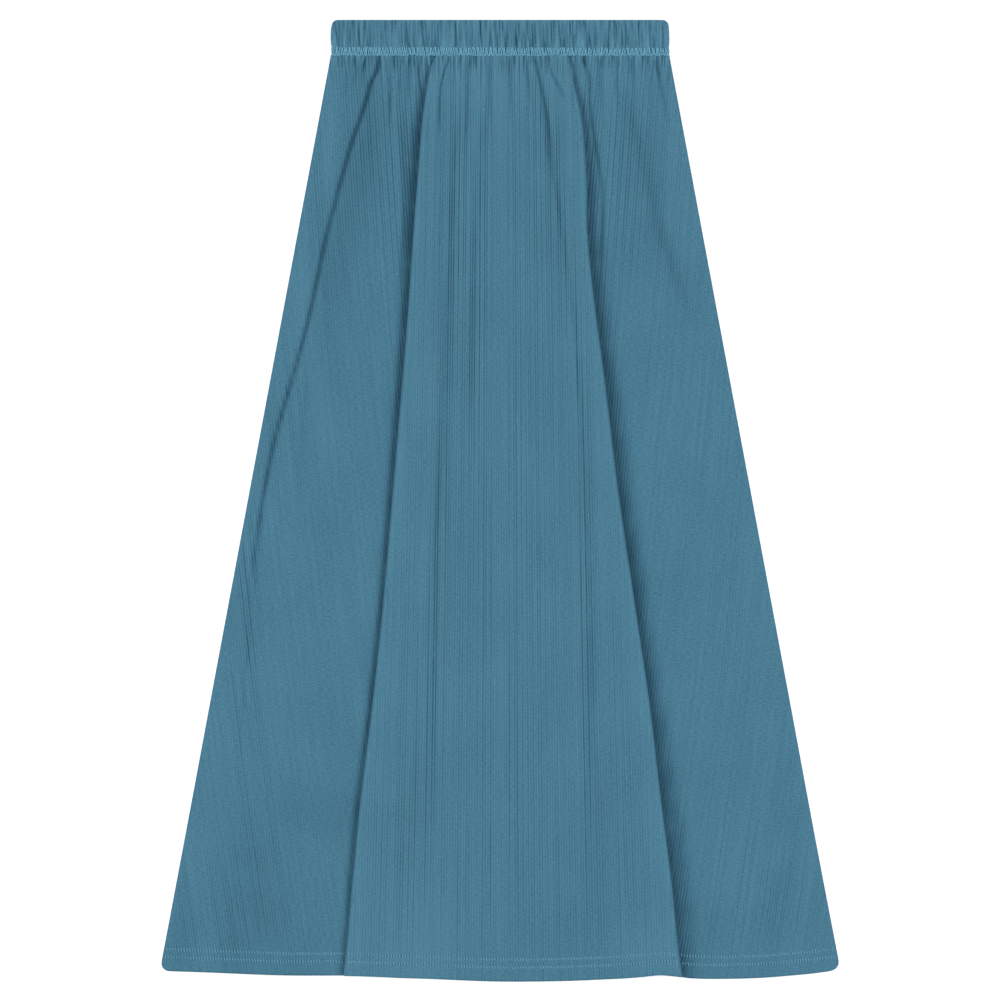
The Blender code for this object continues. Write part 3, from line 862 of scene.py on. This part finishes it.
def front_row(drop, depth):
    """One row across the front: x, height, distance across the cloth, and shade."""
    left, right, spacing, under, loft = (float(value) for value in read(FRONT_SECTIONS, drop))
    wall = wall_at(drop)
    tuck = TUCK_AT_WAIST + (TUCK_AT_HEM - TUCK_AT_WAIST) * drop / LENGTH
    radius = (under + wall) / 2
    edge = half_width(drop) - radius
    crest_end = spacing / 2 + wall / 2
    plateau = tuck + crest_end + PLATEAU_MARGIN
    growth = (RIB_LEAN_AT_HEM - RIB_LEAN_AT_WAIST) / (2 * LENGTH)
    lean = RIB_LEAN_AT_WAIST * drop + growth * drop * drop
    spread = 1 - RIB_FAN * (1 - drop / LENGTH)

    def side_inside(crest):
        def inside(x):
            from_fold = np.abs(x) - abs(crest)
            from_edge = edge - np.abs(x)
            rise = smooth((from_fold - LOFT_STARTS) / LOFT_RISES_IN)
            return under + loft * rise * smooth(from_edge / LOFT_FALLS_IN)

        return inside

    def centre_inside(x):
        fall_left = 1 - smooth((x - left - plateau) / FALL_LENGTH)
        fall_right = 1 - smooth((right - plateau - x) / FALL_LENGTH)
        return under + 2 * spacing * np.maximum(fall_left, fall_right)

    def part(column, x, start, end, inside, strength):
        return ribbed(column, x, start, end, drop, inside, wall, depth, strength)

    def near_fold(away, reach):
        return smooth(SHADE_PLATEAU - away / reach)

    def side_part(sign, column, x, start, end, crest, reach, strength):
        clear = np.maximum(side_ribs(x, drop), near_fold(sign * (x - crest), reach))
        at, z, shade = part(column, x, start, end, side_inside(crest), clear)
        # Painted shade all over the side part, and more beside its fold
        return at, z, shade + SIDE_PAINTED_SHADE + strength * near_fold(sign * (at - crest), reach)

    side = np.arange(LAST_SIDE_COLUMN, FIRST_SIDE_COLUMN - 1, -1)
    centre = np.arange(-LAST_CENTRE_COLUMN, LAST_CENTRE_COLUMN + 1)
    left_x, right_x = lean - side * RIB_COLUMN, side[::-1] * RIB_COLUMN - lean
    folds = [float(value) for value in read(FOLD_SHADE, drop)]
    left_part = side_part(-1, side, left_x, -edge, left - SNAP, left, *folds[:2])
    right_part = side_part(1, side[::-1], right_x, right + SNAP, edge, right, *folds[2:])
    left_fold = fold_turns(left, tuck, spacing, under, wall, depth)
    right_fold = fold_turns(-right, tuck, spacing, under, wall, depth)
    middle = part(
        centre, centre * RIB_COLUMN * spread, left + crest_end, right - crest_end,
        centre_inside, 1.0,
    )
    from_crest = np.minimum(middle[0] - left, right - middle[0])
    # Painted light on the middle part, more near the crests
    painted_crest_light = CENTRE_PAINTED_LIGHT + CREST_PAINTED_LIGHT * smooth(1 - from_crest / CREST_REACH)
    turn_x, turn_z = -right_fold[0][::-1], right_fold[1][::-1]
    hidden = np.full(len(turn_x), HIDDEN_SHADE)
    left_u = left_part[0] - lean
    x = [left_part[0], left_fold[0], middle[0], turn_x, right_part[0]]
    z = [left_part[1], left_fold[1], middle[1], turn_z, right_part[1]]
    u = [
        left_u, along(*left_fold, left_u[-1] + tuck), middle[0] / spread,
        along(turn_x, turn_z, middle[0][-1] / spread), right_part[0] + lean,
    ]
    shade = [left_part[2], hidden, middle[2] - painted_crest_light, hidden, right_part[2]]
    curl = side_curl(drop, radius, wall, depth, 1)
    return with_curls(curl, *(np.concatenate(values) for values in (x, z, u, shade)))


def stitch_groove(drop):
    """How far the rows of stitches draw the hem in."""
    away = LENGTH - drop - np.array(HEM_ROWS)
    return STITCH_GROOVE * float(bell(away, STITCH_GROOVE_REACH).sum())


def hem_turn(wall):
    """Rows that carry the cloth round the hem's edge and up inside: drop, depth in the wall."""
    angles = np.radians(HEM_TURN_ANGLES)
    rows = [
        (LENGTH - wall / 2 * (1 - math.sin(angle)), (1 - math.cos(angle)) / 2)
        for angle in angles
    ]
    return rows + [(LENGTH - back, 1.0) for back in HEM_INSIDE_ROWS]


def panel_rows(steps):
    """Drops and depths of a panel's rows, down its face, round the hem and up inside."""
    drops = np.concatenate([np.arange(*step) for step in steps])
    face = [(float(drop), 0.0) for drop in drops]
    return face + [(LENGTH - HEM_CLOTH / 2, 0.0)] + hem_turn(HEM_CLOTH)


# Rows of the panels: start, end and spacing of each stretch
FRONT_STEPS = (
    (24.4, 40.0, 1.4),
    (40.0, 112.0, 2.4),
    (112.0, 230.0, 4.6),
    (230.0, 652.0, 7.8),
    (652.0, LENGTH - 1.2, 0.95),
)
BACK_STEPS = (
    (24.4, 40.0, 2.6),
    (40.0, 120.0, 5.0),
    (120.0, 652.0, 12.0),
    (652.0, LENGTH - 1.2, 1.6),
)


def back_row(drop, depth):
    """One row across the back, which lies on its face. Its relief goes up into the cloth."""
    under = float(read(FRONT_SECTIONS, drop)[3])
    wall = wall_at(drop)
    radius = (under + wall) / 2
    edge = half_width(drop) - radius
    spread = 1 - RIB_FAN * (1 - drop / LENGTH)
    column = np.arange(-LAST_BACK_COLUMN, LAST_BACK_COLUMN + 1)
    free_x = column * RIB_COLUMN * spread
    at = np.where(free_x < -edge + SNAP, -edge, np.where(free_x > edge - SNAP, edge, free_x))
    room = np.minimum(at + edge, edge - at)
    rib, dark = ribs(column, at, drop)
    trough, _ = troughs(-at, drop)
    seam_draw = BACK_SEAM_DRAW * (1 - float(smooth((drop - GATHERS_START) / BACK_SEAM_DRAW_ENDS)))
    relief = np.minimum(trough * BACK_TROUGH_SHARE, BACK_TROUGH_MOST)
    relief = relief + (BACK_RIB_DEPTH - rib) * smooth(room / RIB_FADE)
    z = wall * depth + (relief * smooth(room / RIB_FADE) + seam_draw) * (1 - depth)
    shade = dark * smooth(room / RIB_FADE) + BACK_TROUGH_SHADE * trough
    curl = side_curl(drop, radius, wall, depth, -1)
    return with_curls(curl, at, z, at / spread, shade)


def panel(name, steps, line_shade, row_function, shorter, up):
    """The shell of one panel. up is 1 for the front and -1 for the back."""
    rows = []
    for drop, depth in panel_rows(steps):
        x, z, u, shade = row_function(drop, depth)
        z = z - up * stitch_groove(drop) * (1 - depth)
        at_edge = smooth((drop - LENGTH + HEM_LINE_SHADE_STARTS) / HEM_LINE_SHADE_BLEND)
        shade = shade + line_shade * at_edge
        rows.append((x, y_of(x, drop, shorter), z, u, np.full_like(x, -drop), shade))
    return cloth_mesh(name, *(np.array(values)[:, ::up] for values in zip(*rows)))


# Waistband

BAND_TURN = (BAND_MIDDLE_FRONT - BAND_MIDDLE_BACK) / 2
BAND_END = WAIST_WIDTH / 2 - BAND_TURN - BAND_OUTSIDE
BAND_FLAT = 2 * BAND_END
BAND_ROUND = math.pi * BAND_TURN
BAND_RING = 2 * (BAND_FLAT + BAND_ROUND)


def round_band(along_ring):
    """X and height of the middle of the band's wall, and the direction out of it, at distances
    round the band from its left front corner."""
    s = np.mod(along_ring, BAND_RING)
    middle = (BAND_MIDDLE_FRONT + BAND_MIDDLE_BACK) / 2
    half = BAND_FLAT + BAND_ROUND
    back = s >= half
    s = np.where(back, s - half, s)
    angle = np.clip((s - BAND_FLAT) / BAND_TURN, 0, math.pi)
    out_x, out_z = np.sin(angle), np.cos(angle)
    x = np.minimum(s, BAND_FLAT) - BAND_END + BAND_TURN * out_x
    z = BAND_TURN * out_z
    turn = np.where(back, -1.0, 1.0)
    return turn * x, middle + turn * z, turn * out_x, turn * out_z


def band_gather_rows():
    """Valleys of the gathers round the band: distance, lean, depth, half width."""
    count = round(BAND_RING / BAND_FLAT * BAND_GATHER_COUNT)
    pitch = BAND_RING / count
    luck = chance.random((4, count))
    return [
        (
            (k + 0.5 + BAND_GATHER_WANDER * (luck[0][k] - 0.5)) * pitch,
            BAND_GATHER_LEAN * (luck[1][k] ** 2 + BAND_LEAST_LEAN),
            BAND_GATHER_DEPTH * (BAND_GATHER_LEAST + BAND_GATHER_BY_LUCK * luck[2][k] ** 2),
            BAND_GATHER_HALF + BAND_HALF_BY_LUCK * luck[3][k],
        )
        for k in range(count)
    ]


BAND_GATHERS = band_gather_rows()


def band_relief(along_ring, drop, share):
    """How far the gathers and ribs move the band's face, and their painted shade, less an even
    painted light. At the back they only go in, because the back rests on the floor."""
    depth = np.zeros_like(along_ring)
    reach = (drop - BAND_MIDDLE_DROP) / BAND_HEIGHT
    bent = reach + BAND_GATHER_BEND * reach**2
    for at, lean, deep, half in BAND_GATHERS:
        away = along_ring - at - lean * bent
        away = away - BAND_RING * np.round(away / BAND_RING)
        depth += deep * bell(away, half)
    ribbing = np.cos(2 * math.pi * (along_ring - BAND_RIB_LEAN * reach) / BAND_RIB)
    depth = np.minimum(depth, BAND_GATHER_MOST) * (1 - calm_right(round_band(along_ring)[0]))
    inward = smooth(-round_band(along_ring)[3])
    height = BAND_RISE * (1 - inward) - depth + BAND_RIB_HEIGHT * (ribbing - inward)
    dark = BAND_TROUGH_SHADE * depth + BAND_RIB_SHADE * (1 - ribbing) - BAND_PAINTED_LIGHT
    return height * share, dark * share


def band_place(along_ring, drop, out):
    """Points on the band, with its top corners rounded."""
    x, z, out_x, out_z = round_band(along_ring)
    at_x = x + out_x * out
    into_corner = np.maximum(np.abs(at_x) - (WAIST_WIDTH / 2 - BAND_CORNER), 0.0)
    corner = BAND_CORNER - np.sqrt(np.maximum(BAND_CORNER**2 - into_corner**2, 0.0))
    return at_x, LENGTH / 2 - np.maximum(drop, corner), z + out_z * out


def waistband():
    """The gathered casing, from its inside over the top to the seam."""
    flat = round(BAND_FLAT / BAND_STEP)
    front = np.linspace(0, BAND_FLAT, flat, endpoint=False)
    side = BAND_FLAT + np.linspace(0, BAND_ROUND, BAND_SIDE_STEPS, endpoint=False)
    half = np.concatenate([front, side])
    ring = np.concatenate([half, half + BAND_RING / 2, [BAND_RING]])
    rows = []
    travelled = 0.0
    for k, (drop, out, share) in enumerate(BAND_SECTION):
        relief, shade = band_relief(ring, drop, share)
        shade = shade + SEAM_SHADE * (out > 0) * (SEAM_TOP <= drop)
        x, y, z = band_place(ring, drop, out + relief)
        if k:
            before = BAND_SECTION[k - 1]
            travelled += math.hypot(drop - before[0], out - before[1])
        rows.append((x, y, z, ring, np.full_like(x, -travelled), shade))
    return cloth_mesh("gathered_waistband", *(np.array(values) for values in zip(*rows)))


# Threads of the seams


def seam_face(drop):
    """How far out the band's face is under the cover seam."""
    rows = [row[:2] for row in BAND_SECTION if row[0] >= SEAM_FACE_TOP and row[1] > SEAM_FACE_OUT]
    table = np.array(rows)
    return np.interp(drop, table[:, 0], table[:, 1])


def looper_line(number):
    """A looper thread that zigzags across the cover seam, all round the band. Its strokes bow
    towards each other in pairs, each pair a little differently."""
    count = round(BAND_RING / SEAM_REPEAT)
    pitch = BAND_RING / count
    t = np.arange(count * SEAM_POINTS + 1) / SEAM_POINTS
    whole = np.minimum(t.astype(int), count - 1)
    bow = SEAM_BOW * (SEAM_BOW_LEAST + SEAM_BOW_BY_LUCK * STITCH_CHANCE[number][whole])
    luck = STITCH_CHANCE[1 - number][whole] - 0.5
    drift = SEAM_DRIFT * luck * np.sin(math.pi * (t - whole))
    side = 1 - 2 * number
    swing = side * np.cos(2 * math.pi * t)
    s = (t + side * bow * np.sin(2 * math.pi * t) + drift + SEAM_LAG * number) * pitch
    top = SEAM_TOP + SEAM_TAPER * round_band(s)[0] / (WAIST_WIDTH / 2)
    middle, reach = (top + SEAM_BOTTOM) / 2, (SEAM_BOTTOM - top) / 2 - LOOPER_RADIUS
    shorter = SEAM_SHORTER * STITCH_CHANCE[2][whole] * np.abs(swing)
    drop = middle + reach * (np.clip(SEAM_TURNS * swing, -1, 1) - shorter * swing)
    above = LOOPER_LIFT[number] + LOOPER_ARCH * np.abs(np.sin(2 * math.pi * t))
    lift = LOOPER_RADIUS * above
    relief, _ = band_relief(s, SEAM_MIDDLE, SEAM_GATHER_SHARE)
    return np.column_stack(band_place(s, drop, seam_face(drop) + relief + lift))


def outer_points(x, out):
    """The points of a row that no other layer covers, in order. out is how far out each is."""
    near = np.abs(x[:, None] - x) < COVERED_REACH
    bare = np.where(near, out, -np.inf).max(axis=1) < out + COVERED_DEPTH
    order = np.argsort(x[bare], kind="stable")
    return x[bare][order], out[bare][order]


def hem_stitches(name, spans, row_function, shorter, up):
    """Rows of stitches along a hem, each a short thread that dips into the cloth at both ends.
    spans are the stretches of the hem, from left to right, where the cloth shows."""
    lines = []
    for number, back in enumerate(HEM_ROWS):
        drop = LENGTH - back
        x, z, _, _ = row_function(drop, 0.0)
        for start, end in spans(drop):
            inside = (x >= start - NEAR) & (x <= end + NEAR)
            keys, heights = outer_points(x[inside], up * z[inside])
            count = int((end - start) / HEM_STITCH_STEP)
            for k in range(count):
                luck = STITCH_CHANCE[3 + number][k % STITCH_LUCKS]
                first = start + (k + HEM_GAP + HEM_GAP_BY_LUCK * luck) * (end - start) / count
                t = np.linspace(0, 1, HEM_STITCH_POINTS)
                at = first + t * HEM_STITCH * (HEM_STITCH_LEAST + HEM_STITCH_BY_LUCK * luck)
                height = up * (np.interp(at, keys, heights) - stitch_groove(drop))
                shows = HEM_SHOWS + sum(
                    size * math.sin(first / turn + phase * number)
                    for size, turn, phase in HEM_SHOWS_WAVES
                )
                arch = HEM_STITCH_ARCH * shows * np.sin(math.pi * t) ** HEM_STITCH_ROUND
                lift = HEM_THREAD_RADIUS * (arch - HEM_STITCH_SINK)
                slant = HEM_STITCH_SLANT * (0.5 + luck) * (t - 0.5)
                y = y_of(at, drop + slant, shorter)
                lines.append(np.column_stack([at, y, height + up * lift]))
    return threads(name, lines, HEM_THREAD_RADIUS)


def front_spans(drop):
    """Stretches of the front's hem between and beside the folds."""
    left, right, spacing = (float(value) for value in read(FRONT_SECTIONS, drop)[:3])
    edge = half_width(drop) - HEM_SPAN_EDGE
    reach = (spacing + wall_at(drop)) / 2
    middle = (left + reach, right - reach)
    return (-edge, left - HEM_SPAN_GAP), middle, (right + HEM_SPAN_GAP, edge)


def back_spans(drop):
    edge = half_width(drop) - HEM_SPAN_EDGE
    return ((-edge, edge),)


# Materials


def new_material(name, roughness):
    """A material, its shader and tree, and functions that add a node, a mix and a range."""
    material = bpy.data.materials.new(name)
    material.use_nodes = True
    tree = material.node_tree
    shader = tree.nodes["Principled BSDF"]
    shader.inputs["Roughness"].default_value = roughness

    def add(kind, inputs=(), **settings):
        node = tree.nodes.new("ShaderNode" + kind)
        for setting, value in settings.items():
            setattr(node, setting, value)
        for socket, value in dict(inputs).items():
            if isinstance(value, bpy.types.NodeSocket):
                tree.links.new(value, node.inputs[socket])
            else:
                node.inputs[socket].default_value = value
        return node

    def mix(factor, a, b):
        return add("MixRGB", {"Fac": factor, "Color1": a, "Color2": b}).outputs["Color"]

    def ranged(value, low, high, from_low=0.0, from_high=1.0):
        ends = {"From Min": from_low, "From Max": from_high, "To Min": low, "To Max": high}
        return add("MapRange", {"Value": value, **ends}).outputs["Result"]

    return material, shader, tree, add, mix, ranged


def jersey(name, colour, dark, light, fine_gathers_start, fine_gathers_end):
    """Rib jersey: fine knit columns and courses, streaks along the ribs, a soft mottle, painted
    shade from the shade attribute and painted light where that is below 0, and the bloom of brushed
    cotton. The finest gathers are painted as lines of shade and light, which fade out between two
    drops.
    A pattern's scales are its cells in a metre across and along the cloth."""
    material, shader, tree, add, mix, ranged = new_material(name, 0.92)
    shader.inputs["Sheen Weight"].default_value = 0.12
    shader.inputs["Sheen Roughness"].default_value = 0.45
    shader.inputs["Sheen Tint"].default_value = rgba(JERSEY_SHEEN)
    shader.inputs["Specular IOR Level"].default_value = 0.25
    cloth = add("UVMap", uv_map="cloth").outputs["UV"]

    def pattern(scale_across, scale_along, detail):
        scaled = add("Mapping", {"Vector": cloth, "Scale": (scale_across, scale_along, 1.0)})
        place = scaled.outputs["Vector"]
        return add("TexNoise", {"Vector": place, "Scale": 1.0, "Detail": detail}).outputs["Fac"]

    def wave(period, direction, distortion):
        node = add(
            "TexWave",
            {"Vector": cloth, "Scale": math.pi / 10 / (period * MM), "Distortion": distortion,
             "Detail": 2.0, "Detail Scale": 3.0},
            wave_type="BANDS", bands_direction=direction,
        )
        return node.outputs["Fac"]

    streaks = pattern(520.0, 9.0, 3.0)
    mottle = pattern(22.0, 16.0, 3.0)
    flecks = pattern(1500.0, 1100.0, 2.0)
    grain = pattern(330.0, 1250.0, 3.0)
    patches = pattern(75.0, 42.0, 3.0)
    wales = wave(0.66, "X", 1.2)
    courses = wave(0.52, "Y", 1.6)

    base = mix(ranged(streaks, 0.0, 0.55, 0.35, 0.75), colour, light)
    base = mix(ranged(mottle, 0.0, 0.16, 0.35, 0.7), base, dark)
    base = mix(ranged(flecks, 0.0, 0.45, 0.4, 0.75), base, dark)
    base = mix(ranged(grain, 0.0, 0.40, 0.48, 0.70), base, light)
    base = mix(ranged(grain, 0.28, 0.0, 0.30, 0.5), base, dark)

    # Painted shade from the shade attribute, sharpened and patchy; painted light where it is below
    # 0
    furrow = add("Attribute", attribute_name="shade", attribute_type="GEOMETRY").outputs["Fac"]
    crisp = add("Math", {0: furrow, 1: 1.35}, operation="POWER", use_clamp=True).outputs["Value"]
    uneven = add("Math", {0: crisp, 1: ranged(patches, 0.7, 1.3, 0.3, 0.7)}, operation="MULTIPLY")
    base = mix(ranged(uneven.outputs["Value"], 0.0, 0.9), base, dark)
    base = mix(ranged(furrow, 0.0, 0.8, 0.0, -1.0), base, light)

    # Painted shade and light of the finest gathers near the seam
    down = add("SeparateXYZ", {"Vector": cloth}).outputs["Y"]
    near_seam = ranged(down, 0.0, 1.0, -MM * fine_gathers_end, -MM * fine_gathers_start)
    drawn = pattern(520.0, 30.0, 2.0)
    for share, towards in (
        (ranged(drawn, 0.0, 0.8, 0.54, 0.66), dark),
        (ranged(drawn, 0.9, 0.0, 0.34, 0.50), light),
    ):
        here = add("Math", {0: share, 1: near_seam}, operation="MULTIPLY").outputs["Value"]
        base = mix(here, base, towards)
    tree.links.new(base, shader.inputs["Base Color"])

    rough = ranged(flecks, 0.86, 0.97, 0.3, 0.7)
    tree.links.new(rough, shader.inputs["Roughness"])

    knit = add("Math", {0: wales, 1: courses}, operation="MULTIPLY").outputs["Value"]
    fine = add("Bump", {"Height": knit, "Strength": 0.35, "Distance": 0.12 * MM})
    fuzz = add(
        "Bump",
        {"Height": flecks, "Strength": 0.3, "Distance": 0.10 * MM,
         "Normal": fine.outputs["Normal"]},
    )
    tree.links.new(fuzz.outputs["Normal"], shader.inputs["Normal"])
    return material


def sewing_thread(name, colour, dark):
    """Fluffy spun thread with a slight twist."""
    material, shader, tree, add, mix, ranged = new_material(name, 0.7)
    shader.inputs["Sheen Weight"].default_value = 0.2
    shader.inputs["Specular IOR Level"].default_value = 0.4
    place = add("TexCoord").outputs["Object"]
    twist = add(
        "TexWave",
        {"Vector": place, "Scale": 700.0, "Distortion": 1.0, "Detail": 1.0},
        wave_type="BANDS", bands_direction="DIAGONAL",
    ).outputs["Fac"]
    fluff = add("TexNoise", {"Vector": place, "Scale": 900.0, "Detail": 3.0}).outputs["Fac"]
    mixed = add("Math", {0: twist, 1: fluff}, operation="MULTIPLY").outputs["Value"]
    base = mix(ranged(mixed, 0.45, 0.0, 0.1, 0.6), colour, dark)
    tree.links.new(base, shader.inputs["Base Color"])
    bump = add("Bump", {"Height": mixed, "Strength": 0.4, "Distance": 0.08 * MM})
    tree.links.new(bump.outputs["Normal"], shader.inputs["Normal"])
    return material


def rgba(colour, factor=1.0):
    """A colour times a factor, with its alpha."""
    return (*(value * factor for value in colour), 1.0)


# Studio


def studio():
    """A white floor with a faint glow, an even light from all round and two softboxes."""
    bm = bmesh.new()
    bmesh.ops.create_grid(bm, x_segments=1, y_segments=1, size=FLOOR_HALF_WIDTH)
    bmesh.ops.translate(bm, verts=bm.verts, vec=(0, 0, FLOOR_LEVEL * MM))
    floor = piece_from(bm, "studio_floor")
    material, shader, *_ = new_material("white_paper", 0.9)
    shader.inputs["Base Color"].default_value = rgba(PAPER_WHITE)
    shader.inputs["Specular IOR Level"].default_value = 0.1
    shader.inputs["Emission Color"].default_value = rgba(LIGHT_WHITE)
    shader.inputs["Emission Strength"].default_value = FLOOR_GLOW
    floor.data.materials.append(material)

    world = bpy.data.worlds.new("studio_light")
    world.use_nodes = True
    background = world.node_tree.nodes["Background"]
    background.inputs["Color"].default_value = rgba(LIGHT_WHITE)
    background.inputs["Strength"].default_value = ROOM_LIGHT
    bpy.context.scene.world = world

    angle = math.radians(SOFTBOX_RISE)
    for name, side in (("left_softbox", -1), ("right_softbox", 1)):
        light = bpy.data.lights.new(name, "AREA")
        light.shape = "RECTANGLE"
        light.size = SOFTBOX_WIDTH
        light.size_y = SOFTBOX_LENGTH
        light.energy = SOFTBOX_POWER
        lamp = bpy.data.objects.new(name, light)
        lamp.location = (side * SOFTBOX_AWAY * math.cos(angle), 0.0, SOFTBOX_AWAY * math.sin(angle))
        lamp.rotation_euler = (0.0, side * (math.pi / 2 - angle), 0.0)
        bpy.context.scene.collection.objects.link(lamp)


def photo_camera():
    """Straight above the middle of the photo's frame."""
    camera = bpy.data.cameras.new("overhead_camera")
    camera.sensor_width = SENSOR
    camera.lens = SENSOR * (CAMERA_HEIGHT - CLOTH_LEVEL) / (PHOTO_PIXELS * PIXEL)
    camera.clip_start, camera.clip_end = CAMERA_SEES
    holder = bpy.data.objects.new("overhead_camera", camera)
    holder.location = (CAMERA_X * MM, CAMERA_Y * MM, CAMERA_HEIGHT * MM)
    bpy.context.scene.collection.objects.link(holder)
    bpy.context.scene.camera = holder
    bpy.context.scene.view_settings.view_transform = "Standard"


def main():
    front = panel("front_jersey_panel", FRONT_STEPS, HEM_LINE_SHADE, front_row, 0.0, 1)
    back = panel("back_jersey_panel", BACK_STEPS, 0.0, back_row, BACK_HEM_SHORTER, -1)
    band = waistband()
    seam = threads("cover_seam_thread", [looper_line(0), looper_line(1)], LOOPER_RADIUS)
    front_hem = hem_stitches("front_hem_stitches", front_spans, front_row, 0.0, 1)
    back_hem = hem_stitches("back_hem_stitches", back_spans, back_row, BACK_HEM_SHORTER, -1)

    dark, light = rgba(JERSEY_DARKER_AND_SHADE), rgba(JERSEY_LIGHTER_AND_HIGHLIGHT)
    face = jersey("teal_rib_jersey", rgba(JERSEY), dark, light, *FINE_GATHERS)
    band_face = jersey("teal_band_jersey", rgba(JERSEY), dark, light, *BAND_FINE_GATHERS)
    # The back's jersey is the front's colour, a little darker for painted shade
    shaded_back_face = jersey("teal_back_jersey_shaded", rgba(JERSEY, 0.92), dark, light, *FINE_GATHERS)
    cover_thread = sewing_thread("aqua_cover_thread", rgba(SEAM_THREAD), rgba(SEAM_THREAD, 0.55))
    hem_thread = sewing_thread("teal_hem_thread", rgba(HEM_THREAD), rgba(HEM_THREAD, 0.6))

    for piece, material, slot in (
        (front, face, "rib_jersey"),
        (back, shaded_back_face, "rib_jersey_back"),
        (band, band_face, "waistband_jersey"),
        (seam, cover_thread, "waistband_jersey"),
        (front_hem, hem_thread, "rib_jersey"),
        (back_hem, hem_thread, "rib_jersey_back"),
    ):
        piece.data.materials.clear()
        piece.data.materials.append(material)
        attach(piece, "root")

    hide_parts("front_panel")
    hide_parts("back_panel")
    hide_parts("waistband")

    studio()
    photo_camera()


main()
